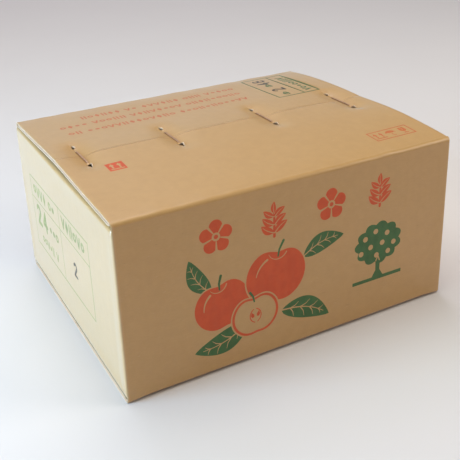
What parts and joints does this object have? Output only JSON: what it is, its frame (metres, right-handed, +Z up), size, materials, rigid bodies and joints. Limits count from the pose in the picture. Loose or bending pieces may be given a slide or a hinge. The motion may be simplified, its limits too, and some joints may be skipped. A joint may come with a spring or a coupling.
{
  "type": "corrugated cardboard fruit carton",
  "caption": "Closed brown corrugated cardboard carton for packed fruit: long top flaps meet along the middle and are held down by wire staples across the seam.",
  "frame": {"origin": "middle of the underside, on the surface that the carton stands on", "axes": "+X along the carton's length, +Y from its front face to its back, +Z up"},
  "size_m": [0.38, 0.312, 0.1941],
  "materials": {
    "kraft_board": "matte",
    "staple_wire": "satin"
  },
  "bodies": {
    "root": {"front_wall": "kraft_board", "back_wall": "kraft_board", "left_wall": "kraft_board", "right_wall": "kraft_board", "glued_lap": "kraft_board", "top_front_flap": "kraft_board", "top_back_flap": "kraft_board", "top_left_flap": "kraft_board", "top_right_flap": "kraft_board", "bottom_front_flap": "kraft_board", "bottom_back_flap": "kraft_board", "bottom_left_flap": "kraft_board", "bottom_right_flap": "kraft_board", "top_staple_1": "staple_wire", "top_staple_2": "staple_wire", "top_staple_3": "staple_wire", "top_staple_4": "staple_wire", "bottom_staple_1": "staple_wire", "bottom_staple_2": "staple_wire", "bottom_staple_3": "staple_wire", "bottom_staple_4": "staple_wire"}
  },
  "joints": []
}
